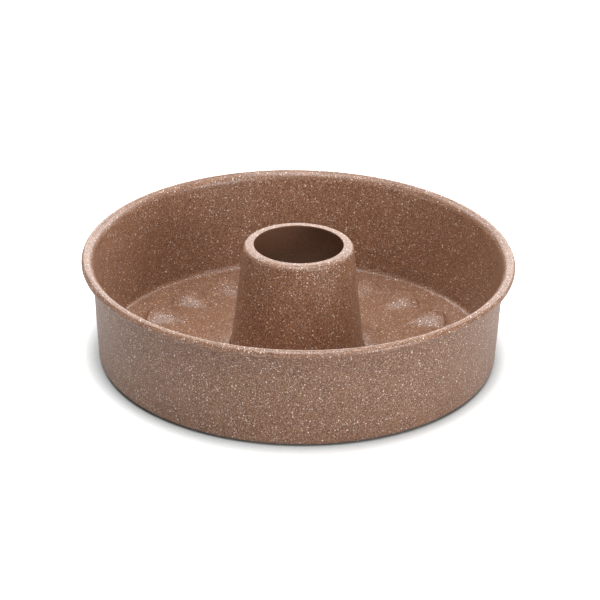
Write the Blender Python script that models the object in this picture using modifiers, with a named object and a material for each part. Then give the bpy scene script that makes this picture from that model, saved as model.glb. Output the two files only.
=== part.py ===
# Ring cake pan with a petal floor: a drawn shell with a curled rim, and a tapered tube
# whose foot is locked round the edge of the hole in the shell's floor.
# Metres, +Z up. The origin is on the axis at the surface that the pan stands on.
import math

import bmesh
import bpy
from mathutils import Vector

mm = 0.001

# Both pieces
sheet = 0.8 * mm             # thickness of the drawn sheet
lock_gap = 0.3 * mm          # clearance between the two sheets in the lock
turned_columns = 3           # columns of facets for each petal, round the whole pan

# Rim and wall of the shell
rim_radius = 127.0 * mm      # outermost radius, at the bead
pan_height = 63.5 * mm       # standing surface to the top of the bead
bead_diameter = 5.5 * mm     # curled edge, over the sheet
bead_clearance = 0.7 * mm    # between the bead and the wall beside it
flare_extra = 3.0 * mm       # how much larger the turn from wall to rim is than the bead
curl_end = math.radians(-165)
wall_draft = math.radians(3.1)
corner_radius = 3.2 * mm     # inside, between floor and wall

# Floor of the shell, from the wall inwards
petal_margin = 15.2 * mm     # plain ring between the wall and the petals
land_width = 5.0 * mm        # how far the flat that the pan stands on lies off the petals
petal_count = 20
petal_height = 3.0 * mm      # rise of each petal at its outer end
petal_flank = 2.8 * mm       # width of the slope round a petal's top
petal_end_rise = 8.0 * mm    # how far a petal's round end stands out past its corners
petal_valley = 3.2 * mm      # between neighbouring petals, at their corners
petal_side_bow = 2.0 * mm    # how far a petal's sides bow out from straight
petal_ramp = 1.5             # 1 rises evenly from the tip, more rises later
tip_gap = 13.5 * mm          # plain floor between the petals' tips and the seat's slope
seat_slope = 11.0 * mm       # width of the slope up to the seat round the tube
seat_width = 5.0 * mm        # seat round the tube
seat_softness = 20.0 * mm    # radius at the foot and head of that slope
tip_top_share = 1 / 36       # half width of a petal's top at its tip, over the petals' pitch

# Tube
tube_height = 69.6 * mm
tube_foot_radius = 39.9 * mm     # outer face, carried down to the standing surface
tube_top_radius = 32.2 * mm      # outer face, carried up to the top
mouth_radius = 26.4 * mm         # round hole in the flat ring that closes the tube in
mouth_bend = 2.3 * mm            # inside, where the tube's wall turns in to that ring

# Lock between the tube's foot and the shell's collar
foot_clearance = 0.5 * mm    # standing surface to the lowest point of the lock
lock_leaf = 1.0 * mm         # straight height of the tube's outer leaf
bend_radius = 0.5 * mm       # inside, where the collar turns down from the seat

# Facets: columns round the tube, and steps in each bend
tube_columns = 60
curl_steps = 5
bead_steps = 3
flare_steps = 4
corner_steps = 4
seat_steps = 3
collar_steps = 3
mouth_steps = 4
fold_steps = 5

coating_colour = (0.272, 0.144, 0.090, 1.0)
coating_roughness = 0.38

merge_distance = 0.00001

# Wall and rim of the shell, on the middle of the sheet
wall_up = Vector((math.sin(wall_draft), math.cos(wall_draft)))
wall_out = Vector((math.cos(wall_draft), -math.sin(wall_draft)))
bead_centre = Vector((rim_radius - bead_diameter / 2, pan_height - bead_diameter / 2))
bead_mid_radius = (bead_diameter - sheet) / 2
wall_face = Vector((rim_radius - bead_diameter - bead_clearance, bead_centre.y))
wall_middle = wall_face - wall_out * sheet / 2
wall_inner = wall_face - wall_out * sheet
flare_mid_radius = bead_mid_radius + flare_extra
flare_sideways = flare_mid_radius - (bead_centre - wall_middle).dot(wall_out)
flare_drop = math.sqrt(flare_extra ** 2 - flare_sideways ** 2)
flare_centre = bead_centre + wall_out * flare_sideways - wall_up * flare_drop
bead_to_flare = bead_centre - flare_centre
rim_turn = math.atan2(bead_to_flare.y, bead_to_flare.x)
floor_level = sheet / 2
wall_foot = wall_middle - wall_up * (wall_middle.y - floor_level) / wall_up.y
floor_radius = (wall_inner - wall_up * (wall_inner.y - sheet) / wall_up.y).x

# The tube's outer face, from the standing surface to the top
tube_foot = Vector((tube_foot_radius, 0.0))
tube_face = Vector((tube_top_radius, tube_height)) - tube_foot
face_angle = math.atan2(tube_face.y, tube_face.x)
tube_up = Vector((math.cos(face_angle), math.sin(face_angle)))
tube_out = Vector((math.sin(face_angle), -math.cos(face_angle)))


# A point beside the tube's outer face: offset is square to the face, along runs up it
def beside_tube(offset, along):
    return tube_foot + tube_out * offset + tube_up * along


# The lock: tube wall, collar and outer leaf lie side by side, a clearance apart
lock_pitch = sheet + lock_gap
collar_offset = lock_gap + sheet / 2
leaf_offset = collar_offset + lock_pitch
lock_centre_height = foot_clearance + sheet / 2 + lock_pitch
lock_along = (lock_centre_height - tube_out.y * collar_offset) / tube_up.y
lock_centre = beside_tube(collar_offset, lock_along)
leaf_along = lock_along + lock_leaf
bend_mid_radius = bend_radius + sheet / 2
seat_corner = beside_tube(collar_offset, leaf_along + bend_mid_radius * math.tan(face_angle / 2))
seat_level = seat_corner.y
seat_edge = seat_corner.x + seat_width
slope_foot = seat_edge + seat_slope

# Petals, in plan
petal_pitch = 2 * math.pi / petal_count
petal_end = floor_radius - petal_margin
petal_tip = slope_foot + tip_gap
petal_corner = petal_end - petal_end_rise
petal_half_width = petal_corner * math.tan(petal_pitch / 2) - petal_valley / 2
petal_corner_angle = math.atan(petal_half_width / petal_corner)
end_arc_radius = (petal_half_width ** 2 + petal_end_rise ** 2) / (2 * petal_end_rise)
end_arc_centre = petal_end - end_arc_radius
petal_outline_radius = math.hypot(petal_corner, petal_half_width)
petal_crest = petal_outline_radius - petal_flank
petal_ring_shares = (1.0, 0.74, 0.48, 0.22, 0.0)
petal_top_share = 0.3        # a petal's top is at least this share of its width
tip_top_angle = petal_pitch * tip_top_share
tip_outline_angle = 2 * tip_top_angle


def clamp(value):
    return min(1.0, max(0.0, value))


def arc(centre, radius, start, end, steps):
    angles = [start + (end - start) * i / steps for i in range(steps + 1)]
    return [centre + radius * Vector((math.cos(a), math.sin(a))) for a in angles]


# The arc that rounds a corner of an outline
def fillet(before, corner, after, radius, steps):
    to_before = (before - corner).normalized()
    to_after = (after - corner).normalized()
    half = to_before.angle(to_after) / 2
    centre = corner + (to_before + to_after).normalized() * radius / math.sin(half)
    reach = radius / math.tan(half)
    first = corner + to_before * reach - centre
    last = corner + to_after * reach - centre
    start = math.atan2(first.y, first.x)
    turn = math.atan2(last.y, last.x) - start
    turn = (turn + math.pi) % (2 * math.pi) - math.pi
    return arc(centre, radius, start, start + turn, steps)


# Joins runs of points into one outline, without the points that two runs share
def chain(*runs):
    outline = []
    for point in [p for run in runs for p in run]:
        if not outline or (point - outline[-1]).length > merge_distance:
            outline.append(point)
    return outline


# The middle of the shell's sheet, from the end of the curl to the end of the collar
def shell_outline():
    seat_foot_corner = Vector((slope_foot, floor_level))
    seat_head_corner = Vector((seat_edge, seat_level))
    collar_end = beside_tube(collar_offset, lock_along)
    rings = [petal_crest - (petal_crest - petal_tip) * (1 - share) for share in petal_ring_shares]
    rings = [petal_end + land_width, petal_outline_radius] + rings
    return chain(
        arc(bead_centre, bead_mid_radius, curl_end, 0, curl_steps),
        arc(bead_centre, bead_mid_radius, 0, math.pi / 2, bead_steps),
        arc(bead_centre, bead_mid_radius, math.pi / 2, rim_turn, 1),
        arc(flare_centre, flare_mid_radius, rim_turn, math.pi - wall_draft, flare_steps),
        fillet(wall_middle, wall_foot, seat_foot_corner, corner_radius + sheet / 2, corner_steps),
        [Vector((radius, floor_level)) for radius in rings],
        fillet(wall_foot, seat_foot_corner, seat_head_corner, seat_softness, seat_steps),
        fillet(seat_foot_corner, seat_head_corner, seat_corner, seat_softness, seat_steps),
        fillet(seat_head_corner, seat_corner, collar_end, bend_mid_radius, collar_steps),
        [collar_end],
    )


# The middle of the tube's sheet, from the hole at the mouth to the end of the outer leaf
def tube_outline():
    wall_foot_middle = beside_tube(-sheet / 2, lock_along)
    top_level = tube_height - sheet / 2
    mouth_edge = Vector((mouth_radius, top_level))
    mouth_corner = wall_foot_middle + tube_up * (top_level - wall_foot_middle.y) / tube_up.y
    fold_start = face_angle + math.pi / 2
    return chain(
        [mouth_edge],
        fillet(mouth_edge, mouth_corner, wall_foot_middle, mouth_bend + sheet / 2, mouth_steps),
        arc(lock_centre, lock_pitch, fold_start, fold_start + math.pi, fold_steps),
        [beside_tube(leaf_offset, leaf_along)],
    )


# An outline in the XZ plane, turned once about the Z axis
def turn_outline(name, outline, steps):
    mesh = bpy.data.meshes.new(name)
    points = [(point.x, 0.0, point.y) for point in outline]
    mesh.from_pydata(points, [(i, i + 1) for i in range(len(points) - 1)], [])
    turned = bpy.data.objects.new(name, mesh)
    screw = turned.modifiers.new("turn", 'SCREW')
    screw.axis = 'Z'
    screw.angle = 2 * math.pi
    screw.steps = steps
    screw.render_steps = steps
    screw.use_merge_vertices = True
    screw.merge_threshold = merge_distance
    screw.use_smooth_shade = True
    return turned


def give_thickness(piece):
    solidify = piece.modifiers.new("sheet", 'SOLIDIFY')
    solidify.thickness = sheet
    solidify.offset = 0
    solidify.use_even_offset = True
    solidify.use_quality_normals = True


# Half a petal's width at a distance from the pan's axis
def half_width(radius):
    share = clamp((radius - petal_tip) / (petal_corner - petal_tip))
    return petal_half_width * share + petal_side_bow * math.sin(math.pi * share)


# Where a petal's outline ends, at an angle from its middle line
def outline_radius(angle):
    if abs(angle) >= petal_corner_angle:
        return petal_outline_radius
    across = end_arc_centre * math.sin(angle)
    return end_arc_centre * math.cos(angle) + math.sqrt(end_arc_radius ** 2 - across ** 2)


# Draws the columns of a petal to its edges and lifts its top. The columns come at even
# angles: the petal's middle, the edge of its top, its outline, and the valley's middle.
def petal_place(radius, local_angle):
    width = half_width(radius)
    top_width = max(width - petal_flank, petal_top_share * width)
    outline_angle = max(math.asin(width / radius), tip_outline_angle)
    top_angle = max(math.asin(top_width / radius), tip_top_angle)
    stops = (0.0, top_angle, outline_angle, petal_pitch / 2)
    column = round(abs(local_angle) / (petal_pitch / 6))
    angle = math.copysign(stops[column], local_angle)

    reach = clamp((radius - petal_tip) / (petal_crest - petal_tip))
    moved = radius + (outline_radius(angle) - petal_outline_radius) * reach ** 2
    on_top = column < 2 and radius < petal_crest + merge_distance
    inside = width if column == 0 else width - top_width
    steepness = clamp(inside / petal_flank)
    lift = petal_height * reach ** petal_ramp * steepness if on_top else 0.0
    return moved, angle, lift


def press_petals(mesh):
    shell = bmesh.new()
    shell.from_mesh(mesh)
    column_pitch = petal_pitch / turned_columns / 2
    inner = slope_foot + tip_gap / 2
    outer = petal_end + land_width / 2

    def petal_points():
        top = sheet + petal_height
        return {v for v in shell.verts if v.co.z < top and inner < v.co.xy.length < outer}

    points = petal_points()
    ring_edges = []
    for edge in shell.edges:
        first, second = edge.verts
        same_radius = abs(first.co.xy.length - second.co.xy.length) < merge_distance
        if first in points and second in points and same_radius:
            ring_edges.append(edge)
    bmesh.ops.subdivide_edges(shell, edges=ring_edges, cuts=1, use_grid_fill=True)
    for point in petal_points():
        angle = math.atan2(point.co.y, point.co.x)
        radius = point.co.xy.length
        if round(angle / column_pitch) % 2:      # a new point, on the chord of its ring
            radius /= math.cos(column_pitch)
        petal_middle = round(angle / petal_pitch) * petal_pitch
        moved, local_angle, lift = petal_place(radius, angle - petal_middle)
        around = petal_middle + local_angle
        point.co = (moved * math.cos(around), moved * math.sin(around), point.co.z + lift)
    pressed = {face for point in petal_points() for face in point.link_faces}
    bmesh.ops.triangulate(shell, faces=list(pressed), quad_method='SHORT_EDGE')
    shell.to_mesh(mesh)
    shell.free()


def coating(name):
    material = bpy.data.materials.new(name)
    material.use_nodes = True
    surface = material.node_tree.nodes["Principled BSDF"]
    surface.inputs["Base Color"].default_value = coating_colour
    surface.inputs["Roughness"].default_value = coating_roughness
    surface.inputs["Metallic"].default_value = 0.0
    return material


def make_shell(collection):
    steps = petal_count * turned_columns
    turned = turn_outline("shell_outline", shell_outline(), steps)
    collection.objects.link(turned)
    graph = bpy.context.evaluated_depsgraph_get()
    mesh = bpy.data.meshes.new_from_object(turned.evaluated_get(graph))
    bpy.data.objects.remove(turned)
    press_petals(mesh)
    mesh.shade_smooth()
    shell = bpy.data.objects.new("pan_shell", mesh)
    collection.objects.link(shell)
    give_thickness(shell)
    mesh.materials.append(coating("shell_coating"))


def make_tube(collection):
    tube = turn_outline("centre_tube", tube_outline(), tube_columns)
    collection.objects.link(tube)
    give_thickness(tube)
    tube.data.materials.append(coating("tube_coating"))


for old in list(bpy.data.objects):
    bpy.data.objects.remove(old)
pan = bpy.data.collections.new("ring_cake_pan")
bpy.context.scene.collection.children.link(pan)
make_shell(pan)
make_tube(pan)
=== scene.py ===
# Ring cake pan with a petal floor and a stone-effect coating, on a white sweep
import math

import bpy
from mathutils import Matrix, Vector


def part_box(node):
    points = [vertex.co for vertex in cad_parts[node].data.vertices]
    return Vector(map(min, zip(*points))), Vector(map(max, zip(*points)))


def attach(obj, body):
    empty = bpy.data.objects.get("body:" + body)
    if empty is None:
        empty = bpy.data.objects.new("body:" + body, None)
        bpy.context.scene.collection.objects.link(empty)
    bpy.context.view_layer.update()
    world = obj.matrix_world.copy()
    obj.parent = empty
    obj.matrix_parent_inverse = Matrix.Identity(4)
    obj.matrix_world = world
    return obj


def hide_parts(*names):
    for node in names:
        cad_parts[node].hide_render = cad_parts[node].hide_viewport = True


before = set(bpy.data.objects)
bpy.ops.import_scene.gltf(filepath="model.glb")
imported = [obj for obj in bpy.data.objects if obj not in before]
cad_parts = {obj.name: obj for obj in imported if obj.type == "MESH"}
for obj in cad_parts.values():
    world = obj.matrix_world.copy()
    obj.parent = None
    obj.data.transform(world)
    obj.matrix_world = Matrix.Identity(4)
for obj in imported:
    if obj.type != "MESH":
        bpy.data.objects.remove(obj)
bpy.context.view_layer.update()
print("frame loaded")

mm = 0.001
turn = 2 * math.pi
spinAxis = (0, 0, -1)           # spin turns clockwise about its axis
joinDistance = 0.01 * mm        # points of two runs closer than this are one
weldDistance = 0.002 * mm
smoothAngle = math.radians(40)


# Small tools for working in the 3D view

def deselectAll():
    if bpy.context.object and bpy.context.object.mode != 'OBJECT':
        bpy.ops.object.mode_set(mode='OBJECT')
    bpy.ops.object.select_all(action='DESELECT')


def applyModifiers(piece):
    deselectAll()
    bpy.context.view_layer.objects.active = piece
    piece.select_set(True)
    for modifier in list(piece.modifiers):
        bpy.ops.object.modifier_apply(modifier=modifier.name)


def clamp(value):
    return min(1.0, max(0.0, value))


def smoothStep(value):
    value = clamp(value)
    return value * value * (3 - 2 * value)


# Outlines are lists of (radius, height) points on the middle of the sheet

def arcPoints(centre, radius, start, end, steps):
    angles = [start + (end - start) * i / steps for i in range(steps + 1)]
    return [centre + radius * Vector((math.cos(a), math.sin(a))) for a in angles]


def roundCorner(before, corner, after, radius, steps):
    toBefore = (before - corner).normalized()
    toAfter = (after - corner).normalized()
    half = toBefore.angle(toAfter) / 2
    centre = corner + (toBefore + toAfter).normalized() * radius / math.sin(half)
    first = corner + toBefore * radius / math.tan(half) - centre
    last = corner + toAfter * radius / math.tan(half) - centre
    start = math.atan2(first.y, first.x)
    bend = (math.atan2(last.y, last.x) - start + math.pi) % turn - math.pi
    return arcPoints(centre, radius, start, start + bend, steps)


def straight(start, end, steps):
    return [start.lerp(end, i / steps) for i in range(steps + 1)]


def joinRuns(*runs):
    outline = []
    for point in [p for run in runs for p in run]:
        if not outline or (point - outline[-1]).length > joinDistance:
            outline.append(point)
    return outline


# Draws an outline by extruding one vertex from point to point, then spins it about Z
def spinOutline(name, outline, angle, steps):
    deselectAll()
    bpy.ops.mesh.primitive_plane_add(size=mm, location=(outline[0].x, 0, outline[0].y))
    piece = bpy.context.object
    piece.name = name
    piece.data.name = name
    bpy.ops.object.mode_set(mode='EDIT')
    bpy.ops.mesh.select_mode(type='VERT')
    bpy.ops.mesh.select_all(action='SELECT')
    bpy.ops.mesh.merge(type='CENTER')
    for here, there in zip(outline, outline[1:]):
        step = (there.x - here.x, 0, there.y - here.y)
        bpy.ops.mesh.extrude_region_move(TRANSFORM_OT_translate={"value": step})
    bpy.ops.mesh.select_all(action='SELECT')
    bpy.ops.mesh.spin(steps=steps, angle=angle, center=(0, 0, 0), axis=spinAxis)
    bpy.ops.mesh.select_all(action='SELECT')
    bpy.ops.mesh.remove_doubles(threshold=weldDistance)
    bpy.ops.object.mode_set(mode='OBJECT')
    bpy.ops.object.transform_apply(location=True, rotation=True, scale=True)
    return piece


# Gives a turned sheet its thickness, evenly to both sides, and shades it
def thicken(piece, thickness):
    solidify = piece.modifiers.new("sheet", 'SOLIDIFY')
    solidify.thickness = thickness
    solidify.offset = 0
    solidify.use_even_offset = True
    solidify.use_quality_normals = True
    applyModifiers(piece)
    bpy.ops.object.shade_smooth_by_angle(angle=smoothAngle)


sheet = 0.8 * mm

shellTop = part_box("pan_shell")[1]
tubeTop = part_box("centre_tube")[1]

shellSizes = {
    "rimRadius": shellTop.x - 0.03 * mm,    # a hair inside the box of the solid's facets
    "height": shellTop.z - 0.02 * mm,
    "bead": 5.5 * mm,               # across the rolled edge
    "beadClearance": 0.7 * mm,      # between the wall and the bead's inner side
    "flareExtra": 3.0 * mm,         # radius of the flare, more than the bead's
    "curlEnd": math.radians(-165),
    "draft": math.radians(3.1),
    "corner": 3.2 * mm,
    "seatSlope": 11.0 * mm,
    "seatWidth": 5.0 * mm,
    "seatSoftness": 20.0 * mm,
    "columnsPerPetal": 24,
    "beadSteps": 22,
    "flareSteps": 7,
    "cornerSteps": 8,
    "seatSteps": 4,
    "collarSteps": 6,
}

petalSizes = {
    "count": 20,
    "margin": 15.2 * mm,            # plain ring between the wall and the petals
    "tipGap": 13.5 * mm,            # plain floor inside the petals
    "height": 4.8 * mm,
    "flank": 2.8 * mm,              # width of the slope at a petal's round end
    "sideFlank": 10.0 * mm,         # width of the softer slopes along its sides
    "endRise": 8.0 * mm,            # how far the round end stands out past its corners
    "valley": 1.4 * mm,
    "sideBow": 2.0 * mm,
    "ramp": 1.0,                    # 1 rises evenly from the tip, more rises later
    "blend": 1.2 * mm,              # rounds the corner between side and end slopes
    "lead": 2 * mm,                 # the fine rings begin this far before the tips
    "tipReach": 3 * mm,             # the floor is pressed from here before the tips
    "endReach": 1 * mm,             # and to here past the round ends
    "marginRings": (5 * mm, 1.5 * mm),
    "topRings": 22,
    "slopeRings": 7,
    "topColumns": 5 / 12,           # share of the columns on a petal's top
    "sideColumns": 9 / 12,          # and up to its outline
    "leastTop": 1 / 40,             # least angle out to the top's edge, in petal pitches
    "leastOutline": 3 / 40,         # and out to the outline
}

tubeSizes = {
    "height": tubeTop.z,
    "footRadius": 39.9 * mm,
    "topRadius": 32.2 * mm,         # outer face, carried up to the top
    "mouthRadius": 26.4 * mm,
    "mouthBend": 2.3 * mm,          # inside, where the wall turns in to the flat ring
    "lockGap": 0.1 * mm,
    "footClearance": 0.5 * mm,
    "leaf": 1.0 * mm,
    "bend": 0.5 * mm,
    "insideTurn": -0.5,             # a face turned further to the axis than this is inside
    "columns": 360,
    "ringSteps": 4,
    "mouthSteps": 12,
    "wallSteps": 8,
    "footSteps": 12,
}


# The lock: the tube's wall, the shell's collar and the tube's outer leaf side by side
class Lock:
    def __init__(self, tube):
        gap = tube["lockGap"]
        self.foot = Vector((tube["footRadius"], 0.0))
        face = Vector((tube["topRadius"], tube["height"])) - self.foot
        self.angle = math.atan2(face.y, face.x)
        self.up = Vector((math.cos(self.angle), math.sin(self.angle)))
        self.out = Vector((math.sin(self.angle), -math.cos(self.angle)))
        self.pitch = sheet + gap
        self.collarOffset = gap + sheet / 2
        centreHeight = tube["footClearance"] + sheet / 2 + self.pitch
        self.along = (centreHeight - self.out.y * self.collarOffset) / self.up.y
        self.leafAlong = self.along + tube["leaf"]
        self.bend = tube["bend"] + sheet / 2
        rise = self.bend * math.tan(self.angle / 2)
        self.seatCorner = self.beside(self.collarOffset, self.leafAlong + rise)

    # A point beside the tube's outer face: offset is square to the face, along runs up it
    def beside(self, offset, along):
        return self.foot + self.out * offset + self.up * along


lock = Lock(tubeSizes)


# The shell's main points, worked out from its sizes
class Shell:
    def __init__(self, sizes, petals):
        up = Vector((math.sin(sizes["draft"]), math.cos(sizes["draft"])))
        out = Vector((math.cos(sizes["draft"]), -math.sin(sizes["draft"])))
        bead = sizes["bead"]
        self.beadCentre = Vector((sizes["rimRadius"] - bead / 2, sizes["height"] - bead / 2))
        self.beadMid = (bead - sheet) / 2
        face = Vector((sizes["rimRadius"] - bead - sizes["beadClearance"], self.beadCentre.y))
        self.wallTop = face - out * sheet / 2
        self.flareMid = self.beadMid + sizes["flareExtra"]
        sideways = self.flareMid - (self.beadCentre - self.wallTop).dot(out)
        drop = math.sqrt(sizes["flareExtra"] ** 2 - sideways ** 2)
        self.flareCentre = self.beadCentre + out * sideways - up * drop
        toBead = self.beadCentre - self.flareCentre
        self.rimTurn = math.atan2(toBead.y, toBead.x)
        self.level = sheet / 2
        self.wallFoot = self.wallTop - up * (self.wallTop.y - self.level) / up.y
        inner = face - out * sheet
        self.floorRadius = (inner - up * (inner.y - sheet) / up.y).x
        self.seatCorner = lock.seatCorner
        self.seatEdge = Vector((self.seatCorner.x + sizes["seatWidth"], self.seatCorner.y))
        self.slopeFoot = Vector((self.seatEdge.x + sizes["seatSlope"], self.level))

        # petals, in plan
        self.pitch = turn / petals["count"]
        self.end = self.floorRadius - petals["margin"]
        self.tip = self.slopeFoot.x + petals["tipGap"]
        self.corner = self.end - petals["endRise"]
        self.halfWidth = self.corner * math.tan(self.pitch / 2) - petals["valley"] / 2
        self.cornerAngle = math.atan(self.halfWidth / self.corner)
        self.arcRadius = (self.halfWidth ** 2 + petals["endRise"] ** 2) / (2 * petals["endRise"])
        self.arcCentre = self.end - self.arcRadius
        self.outline = math.hypot(self.corner, self.halfWidth)
        self.crest = self.outline - petals["flank"]


shell = Shell(shellSizes, petalSizes)


def floorPoint(radius):
    return Vector((radius, shell.level))


# The shell's section, from the curled end of its rim down the wall and in to the collar
def shellOutline():
    sizes = shellSizes
    collarEnd = lock.beside(lock.collarOffset, lock.along)
    wallTurn = math.pi - sizes["draft"]
    rimPoints = arcPoints(shell.beadCentre, shell.beadMid, sizes["curlEnd"], shell.rimTurn,
                          sizes["beadSteps"])
    flarePoints = arcPoints(shell.flareCentre, shell.flareMid, shell.rimTurn, wallTurn,
                            sizes["flareSteps"])
    cornerPoints = roundCorner(shell.wallTop, shell.wallFoot, shell.slopeFoot,
                               sizes["corner"] + sheet / 2, sizes["cornerSteps"])
    marginPoints = [floorPoint(shell.end + gap) for gap in petalSizes["marginRings"]]
    slopePoints = straight(floorPoint(shell.outline), floorPoint(shell.crest),
                           petalSizes["slopeRings"])
    topPoints = straight(floorPoint(shell.crest), floorPoint(shell.tip - petalSizes["lead"]),
                         petalSizes["topRings"])
    seatPoints = joinRuns(
        roundCorner(shell.wallFoot, shell.slopeFoot, shell.seatEdge,
                    sizes["seatSoftness"], sizes["seatSteps"]),
        roundCorner(shell.slopeFoot, shell.seatEdge, shell.seatCorner,
                    sizes["seatSoftness"], sizes["seatSteps"]))
    collarPoints = roundCorner(shell.seatEdge, shell.seatCorner, collarEnd,
                               lock.bend, sizes["collarSteps"])
    return joinRuns(rimPoints, flarePoints, cornerPoints, marginPoints, slopePoints,
                    topPoints, seatPoints, collarPoints, [collarEnd])


# Half a petal's width at a distance from the pan's axis
def petalHalfWidth(radius):
    share = clamp((radius - shell.tip) / (shell.corner - shell.tip))
    return shell.halfWidth * share + petalSizes["sideBow"] * math.sin(math.pi * share)


# Where a petal's round end lies, at an angle from its middle line
def petalEnd(angle):
    if abs(angle) >= shell.cornerAngle:
        return shell.outline
    across = shell.arcCentre * math.sin(angle)
    return shell.arcCentre * math.cos(angle) + math.sqrt(shell.arcRadius ** 2 - across ** 2)


# How far the sheet is pressed up at a point, from its distance inside the petal's outline
def petalLift(radius, angle):
    along = radius * math.cos(angle)
    across = abs(radius * math.sin(angle))
    lean = math.cos(math.atan(shell.halfWidth / (shell.corner - shell.tip)))
    soften = petalSizes["flank"] / petalSizes["sideFlank"]
    blend = petalSizes["blend"]
    inSide = (petalHalfWidth(along) - across) * lean * soften
    inEnd = shell.arcRadius - math.hypot(along - shell.arcCentre, across)
    soft = clamp(0.5 + 0.5 * (inEnd - inSide) / blend)
    inside = inSide * soft + inEnd * (1 - soft) - blend * soft * (1 - soft) / 2
    reach = clamp((along - shell.tip) / (shell.crest - shell.tip))
    slope = smoothStep(inside / petalSizes["flank"])
    return petalSizes["height"] * reach ** petalSizes["ramp"] * slope


# Draws the columns of one sector to the petal's edges, so that its slopes come out clean.
# The share runs from 0 on the petal's middle line to 1 in the middle of the next valley.
def petalAngle(radius, share):
    width = petalHalfWidth(radius)
    topWidth = max(width - petalSizes["flank"], 0.0)
    top = max(math.asin(topWidth / radius), shell.pitch * petalSizes["leastTop"])
    outline = max(math.asin(width / radius), shell.pitch * petalSizes["leastOutline"])
    stops = ((0.0, 0.0), (petalSizes["topColumns"], top), (petalSizes["sideColumns"], outline),
             (1.0, shell.pitch / 2))
    for (low, fromAngle), (high, toAngle) in zip(stops, stops[1:]):
        if share <= high:
            return fromAngle + (toAngle - fromAngle) * (share - low) / (high - low)


def pressPetal(sector):
    inner = shell.tip - petalSizes["tipReach"]
    outer = shell.end + petalSizes["endReach"]
    for vertex in sector.data.vertices:
        radius = vertex.co.xy.length
        if vertex.co.z > sheet or not inner < radius < outer:
            continue
        angle = math.atan2(vertex.co.y, vertex.co.x) - shell.pitch / 2
        drawn = math.copysign(petalAngle(radius, clamp(abs(angle) * 2 / shell.pitch)), angle)
        reach = clamp((radius - shell.tip) / (shell.crest - shell.tip))
        radius += (petalEnd(drawn) - shell.outline) * reach ** 2
        lift = petalLift(radius, drawn)
        around = drawn + shell.pitch / 2
        height = vertex.co.z + lift
        vertex.co = (radius * math.cos(around), radius * math.sin(around), height)


def makeShell():
    piece = spinOutline("panShell", shellOutline(), shell.pitch, shellSizes["columnsPerPetal"])
    pressPetal(piece)
    deselectAll()
    bpy.context.view_layer.objects.active = piece
    piece.select_set(True)
    bpy.ops.object.mode_set(mode='EDIT')
    bpy.ops.mesh.select_all(action='SELECT')
    copies = petalSizes["count"] - 1
    bpy.ops.mesh.spin(steps=copies, dupli=True, angle=turn - shell.pitch,
                      center=(0, 0, 0), axis=spinAxis)
    bpy.ops.mesh.select_all(action='SELECT')
    bpy.ops.mesh.remove_doubles(threshold=weldDistance)
    bpy.ops.mesh.select_all(action='DESELECT')
    bpy.ops.object.mode_set(mode='OBJECT')
    # the sector began on +X, so the first petal's middle is turned back onto +X
    piece.data.transform(Matrix.Rotation(-shell.pitch / 2, 4, 'Z'))
    thicken(piece, sheet)
    print("shell made,", len(piece.data.polygons), "faces")
    return piece


# The tube's section, from the mouth's edge down the wall and round the foot to its leaf
def tubeOutline():
    low = lock.beside(-sheet / 2, lock.along)
    top = tubeSizes["height"] - sheet / 2
    edge = Vector((tubeSizes["mouthRadius"], top))
    corner = low + lock.up * (top - low.y) / lock.up.y
    centre = lock.beside(lock.collarOffset, lock.along)
    bend = roundCorner(edge, corner, low, tubeSizes["mouthBend"] + sheet / 2,
                       tubeSizes["mouthSteps"])
    wallSide = lock.angle + math.pi / 2
    foot = arcPoints(centre, lock.pitch, wallSide, wallSide + math.pi, tubeSizes["footSteps"])
    return joinRuns(
        straight(edge, bend[0], tubeSizes["ringSteps"]),
        bend,
        straight(bend[-1], low, tubeSizes["wallSteps"]),
        foot,
        [lock.beside(lock.collarOffset + lock.pitch, lock.leafAlong)],
    )


# Faces that look towards the axis are marked, because the tube's inside has no specks
def markInside(piece):
    inside = piece.data.attributes.new("tubeInside", 'FLOAT', 'FACE')
    for face in piece.data.polygons:
        facing = face.normal.to_2d().dot(face.center.to_2d().normalized())
        inside.data[face.index].value = float(facing < tubeSizes["insideTurn"])


def makeTube():
    piece = spinOutline("centreTube", tubeOutline(), turn, tubeSizes["columns"])
    thicken(piece, sheet)
    markInside(piece)
    print("tube made,", len(piece.data.polygons), "faces")
    return piece


# A socket that can be used in sums, so that shader maths reads as an expression
class Value:
    def __init__(self, finish, socket):
        self.finish = finish
        self.socket = socket

    def maths(self, operation, first, second):
        return self.finish.add('ShaderNodeMath', {"operation": operation}, {0: first, 1: second})

    def __add__(self, other):
        return self.maths('ADD', self, other)

    def __radd__(self, other):
        return self.maths('ADD', other, self)

    def __sub__(self, other):
        return self.maths('SUBTRACT', self, other)

    def __rsub__(self, other):
        return self.maths('SUBTRACT', other, self)

    def __mul__(self, other):
        return self.maths('MULTIPLY', self, other)

    def __rmul__(self, other):
        return self.maths('MULTIPLY', other, self)

    def __truediv__(self, other):
        return self.maths('DIVIDE', self, other)

    def __pow__(self, other):
        return self.maths('POWER', self, other)

    def __gt__(self, other):
        return self.maths('GREATER_THAN', self, other)

    def clamped(self):
        return self.finish.add('ShaderNodeClamp', {}, {"Value": self})


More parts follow.
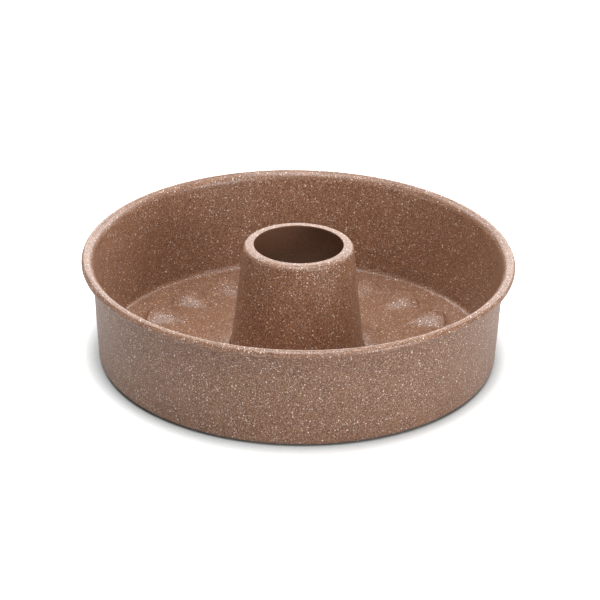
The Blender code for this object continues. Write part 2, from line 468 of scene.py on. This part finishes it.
# A material under construction: add() makes any node from its type, settings and sockets
class Finish:
    def __init__(self, name, kind='ShaderNodeBsdfPrincipled'):
        self.material = bpy.data.materials.new(name)
        self.material.use_nodes = True
        self.tree = self.material.node_tree
        self.surface = self.tree.nodes["Principled BSDF"]
        if kind != self.surface.bl_idname:
            self.tree.nodes.remove(self.surface)
            self.surface = self.tree.nodes.new(kind)
            output = self.tree.nodes["Material Output"]
            self.tree.links.new(self.surface.outputs[0], output.inputs["Surface"])

    @classmethod
    def around(cls, world, node):
        finish = cls.__new__(cls)
        finish.material = world
        finish.tree = world.node_tree
        finish.surface = finish.tree.nodes[node]
        return finish

    def add(self, kind, settings, sockets, output=0):
        node = self.tree.nodes.new(kind)
        for key, value in settings.items():
            if key == "stops":
                self.setStops(node.color_ramp, value)
            else:
                setattr(node, key, value)
        for key, value in sockets.items():
            self.feed(node.inputs[key], value)
        return Value(self, node.outputs[output])

    # A colour mix; the sockets of its colours share their names, so they go by number
    def mixed(self, factor, first, second):
        sockets = {"Factor": factor, 6: first, 7: second}
        return self.add('ShaderNodeMix', {"data_type": 'RGBA'}, sockets, 2)

    def setStops(self, ramp, stops):
        while len(ramp.elements) < len(stops):
            ramp.elements.new(0.5)
        for element, (place, colour) in zip(ramp.elements, stops):
            element.position = place
            element.color = colour

    def feed(self, socket, value):
        if isinstance(value, Value):
            self.tree.links.new(value.socket, socket)
        else:
            socket.default_value = value


coatingLook = {
    # fine grains of the coating, from the darkest to the palest
    "grains": (
        (0.35, (0.130, 0.056, 0.029, 1)),
        (0.50, (0.251, 0.119, 0.064, 1)),
        (0.65, (0.435, 0.230, 0.136, 1)),
    ),
    "grainSize": 0.75 * mm,
    "grainDetail": 2.0,
    "cloudSize": 11.0 * mm,
    "cloudDetail": 3.0,
    "cloudReach": 0.10,             # how far the broad clouds shift the grains' tone
    "insideGrain": 0.3,             # what is left of the grain inside the tube
    "roughness": 0.37,
    "shine": 0.85,                  # specular level, the same all over
    "bumpSize": 0.35 * mm,
    "bumpDetail": 1.0,
    "bumpStrength": 0.25,
    "bumpDepth": 0.05 * mm,
    "speck": (0.96, 0.81, 0.70, 1),
    "speckRoughness": 0.50,
    "speckBump": 0.6,               # how far specks stand up, as a share of the bump
    "speckLeast": 0.35,             # the smallest specks, as a share of the largest
    "speckEdge": 0.12,              # soft edge, as a share of the radius
    "raggedScale": 2.5,
    "raggedDetail": 2.0,
    # cell size, largest radius as a share of it, share of cells with a speck, ragged edge
    "specks": (
        {"cell": 2.1 * mm, "radius": 0.22, "kept": 0.55, "ragged": 0.12, "strength": 1.0},
        {"cell": 1.2 * mm, "radius": 0.27, "kept": 0.60, "ragged": 0.12, "strength": 0.90},
        {"cell": 0.75 * mm, "radius": 0.32, "kept": 0.60, "ragged": 0.10, "strength": 0.58},
    ),
}


def noise(finish, point, scale, detail, output="Fac"):
    return finish.add('ShaderNodeTexNoise', {},
                      {"Vector": point, "Scale": scale, "Detail": detail}, output)


# One size of speck: a cell pattern whose cells are pulled ragged, some of them left bare
def speckLayer(finish, point, layer):
    scale = 1 / layer["cell"]
    wobble = noise(finish, point, scale * coatingLook["raggedScale"],
                   coatingLook["raggedDetail"], "Color")
    centred = finish.add('ShaderNodeVectorMath', {"operation": 'SUBTRACT'},
                         {0: wobble, 1: (0.5, 0.5, 0.5)})
    pushed = finish.add('ShaderNodeVectorMath', {"operation": 'SCALE'},
                        {0: centred, "Scale": layer["ragged"] * layer["cell"] * 2})
    moved = finish.add('ShaderNodeVectorMath', {"operation": 'ADD'}, {0: point, 1: pushed})
    cells = {"Vector": moved, "Scale": scale, "Randomness": 1.0}
    distance = finish.add('ShaderNodeTexVoronoi', {}, cells, "Distance")
    colour = finish.add('ShaderNodeTexVoronoi', {}, cells, "Color")
    chance = finish.add('ShaderNodeSeparateColor', {}, {"Color": colour}, "Red")
    size = finish.add('ShaderNodeSeparateColor', {}, {"Color": colour}, "Green")
    least = coatingLook["speckLeast"]
    radius = layer["radius"] * (least + (1 - least) * size)
    edge = ((radius - distance) / (coatingLook["speckEdge"] * layer["radius"]) + 0.5).clamped()
    kept = chance > 1 - layer["kept"]
    return edge * kept * layer["strength"]


def makeCoating(name):
    look = coatingLook
    finish = Finish(name)
    speckled = 1 - finish.add('ShaderNodeAttribute', {"attribute_name": "tubeInside"}, {}, "Fac")
    point = finish.add('ShaderNodeTexCoord', {}, {}, "Object")
    cloud = noise(finish, point, 1 / look["cloudSize"], look["cloudDetail"])
    grain = noise(finish, point, 1 / look["grainSize"], look["grainDetail"])
    spread = look["insideGrain"] + (1 - look["insideGrain"]) * speckled
    tone = 0.5 + (grain - 0.5 + (cloud - 0.5) * look["cloudReach"]) * spread
    body = finish.add('ShaderNodeValToRGB', {"stops": look["grains"]}, {"Fac": tone})
    specks = None
    for layer in look["specks"]:
        mask = speckLayer(finish, point, layer)
        specks = mask if specks is None else specks.maths('MAXIMUM', specks, mask)
    specks = specks * speckled
    colour = finish.mixed(specks, body, look["speck"])
    rough = look["roughness"] + (look["speckRoughness"] - look["roughness"]) * specks
    pores = noise(finish, point, 1 / look["bumpSize"], look["bumpDetail"])
    bump = finish.add('ShaderNodeBump', {}, {
        "Strength": look["bumpStrength"],
        "Distance": look["bumpDepth"],
        "Height": pores + specks * look["speckBump"],
    })
    finish.feed(finish.surface.inputs["Base Color"], colour)
    finish.feed(finish.surface.inputs["Roughness"], rough)
    finish.feed(finish.surface.inputs["Normal"], bump)
    finish.feed(finish.surface.inputs["Specular IOR Level"], look["shine"])
    return finish.material


panShell = makeShell()
panShell.data.materials.append(makeCoating("shellCoating"))
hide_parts("pan_shell")
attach(panShell, "root")

centreTube = makeTube()
centreTube.data.materials.append(makeCoating("tubeCoating"))
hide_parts("centre_tube")
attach(centreTube, "root")
print("pieces in place")


# Camera, lights and floor. Places are given as seen from the camera's side, which is then
# turned about the pan's axis, because the petals are set square to the axes.

viewSizes = {
    "azimuth": math.radians(7.8),
    "elevation": math.radians(26.08),
    "roll": math.radians(1.01),
    "distance": 1.5,
    "aimRight": 1.32 * mm,
    "aimHeight": 33.25 * mm,
    "lens": 152.3,
    "sensor": 36.0,
    "clipEnd": 30,
}

lightLook = {
    "roomFill": 0.16,               # what the white room gives to anything but the camera
    "aimHeight": 30 * mm,
    "lamps": (
        {"name": "topSoftbox", "place": (0, 0, 1.2),
         "size": (0.9, 0.9), "power": 7.6},
        {"name": "frontTopSoftbox", "place": (0, -0.5, 1.15),
         "size": (0.6, 0.6), "power": 5.5},
        {"name": "backSoftbox", "place": (0, 1.3, 0.5),
         "size": (1.6, 0.6), "power": 11.0},
        {"name": "highBackLeftSoftbox", "place": (-0.7, 0.7, 1.0),
         "size": (0.6, 0.6), "power": 6.0},
        {"name": "highBackRightSoftbox", "place": (0.7, 0.7, 1.0),
         "size": (0.6, 0.6), "power": 2.8},
        {"name": "backRightSoftbox", "place": (0.95, 0.95, 0.6),
         "size": (0.7, 0.7), "power": 5.4},
        {"name": "frontRightSoftbox", "place": (0.9, -0.9, 0.35),
         "size": (0.6, 0.5), "power": 7.0},
        {"name": "frontLeftSoftbox", "place": (-1.2, -0.6, 0.3),
         "size": (0.6, 0.5), "power": 1.6},
        {"name": "frontSoftbox", "place": (0, -1.4, 0.45),
         "size": (1.2, 0.6), "power": 0.8},
    ),
}

# The camera sees the floor lighter than it is, so that it turns white just outside the pan's
# shadow, and a painted shadow makes it darker where the pan stands close over it
floorLook = {
    "colour": (0.58, 0.58, 0.58, 1),
    "seenOpen": (1.76, 1.81, 1.83, 1),
    # painted shadow: the colour the camera sees where the pan hides the view upward, how far it
    # reaches and how it fades
    "seenInPaintedShadow": (0.36, 0.39, 0.39, 1),
    "paintedShadowReach": 40 * mm,
    "paintedShadowRange": (0.34, 0.80),     # open share of the view upward, from closest to open
    "paintedShadowCurve": 1.3,
    "paintedShadowSamples": 16,
    "radius": 3.0,
    "edges": 64,
}


def turned(place):
    return Matrix.Rotation(viewSizes["azimuth"], 4, 'Z') @ Vector(place)


def makeCamera():
    deselectAll()
    bpy.ops.object.camera_add()
    camera = bpy.context.object
    camera.name = "viewCamera"
    tilt = viewSizes["elevation"]
    back = Vector((0, -math.cos(tilt), math.sin(tilt))) * viewSizes["distance"]
    place = turned(Vector((viewSizes["aimRight"], 0, viewSizes["aimHeight"])) + back)
    around = Matrix.Rotation(viewSizes["azimuth"], 4, 'Z')
    down = Matrix.Rotation(math.pi / 2 - tilt, 4, 'X')
    roll = Matrix.Rotation(viewSizes["roll"], 4, 'Z')
    camera.matrix_world = Matrix.Translation(place) @ around @ down @ roll
    camera.data.sensor_width = viewSizes["sensor"]
    camera.data.lens = viewSizes["lens"]
    camera.data.clip_end = viewSizes["clipEnd"]
    bpy.context.scene.camera = camera


def makeLamp(look):
    deselectAll()
    bpy.ops.object.light_add(type='AREA')
    lamp = bpy.context.object
    lamp.name = look["name"]
    lamp.data.shape = 'RECTANGLE'
    lamp.data.size, lamp.data.size_y = look["size"]
    lamp.data.energy = look["power"]
    place = turned(look["place"])
    aim = Vector((0, 0, lightLook["aimHeight"])) - place
    lamp.location = place
    lamp.rotation_euler = aim.to_track_quat('-Z', 'Y').to_euler()


def makeFloor():
    deselectAll()
    bpy.ops.mesh.primitive_circle_add(vertices=floorLook["edges"], radius=floorLook["radius"],
                                      fill_type='NGON', location=(0, 0, 0))
    floor = bpy.context.object
    floor.name = "sweep"
    finish = Finish("sweepWhitePaintedShadow", 'ShaderNodeBsdfDiffuse')
    # Painted shadow: the colour the camera sees darkens where ambient occlusion finds the pan
    # close over the floor
    camera = finish.add('ShaderNodeLightPath', {}, {}, "Is Camera Ray")
    view = finish.add('ShaderNodeAmbientOcclusion', {"samples": floorLook["paintedShadowSamples"]},
                      {"Distance": floorLook["paintedShadowReach"]}, "AO")
    low, high = floorLook["paintedShadowRange"]
    outsidePaintedShadow = ((view - low) / (high - low)).clamped() ** floorLook["paintedShadowCurve"]
    seen = finish.mixed(outsidePaintedShadow, floorLook["seenInPaintedShadow"], floorLook["seenOpen"])
    colour = finish.mixed(camera, floorLook["colour"], seen)
    finish.feed(finish.surface.inputs["Color"], colour)
    floor.data.materials.append(finish.material)


# The room is white to the camera, and lights the pan only faintly
def makeWorld():
    world = bpy.data.worlds.new("whiteRoom")
    world.use_nodes = True
    finish = Finish.around(world, "Background")
    camera = finish.add('ShaderNodeLightPath', {}, {}, "Is Camera Ray")
    fill = lightLook["roomFill"]
    finish.feed(finish.surface.inputs["Color"], (1, 1, 1, 1))
    finish.feed(finish.surface.inputs["Strength"], camera * (1 - fill) + fill)
    bpy.context.scene.world = world


makeCamera()
for look in lightLook["lamps"]:
    makeLamp(look)
makeFloor()
makeWorld()
bpy.context.scene.view_settings.view_transform = 'Standard'
print("camera and lights set")
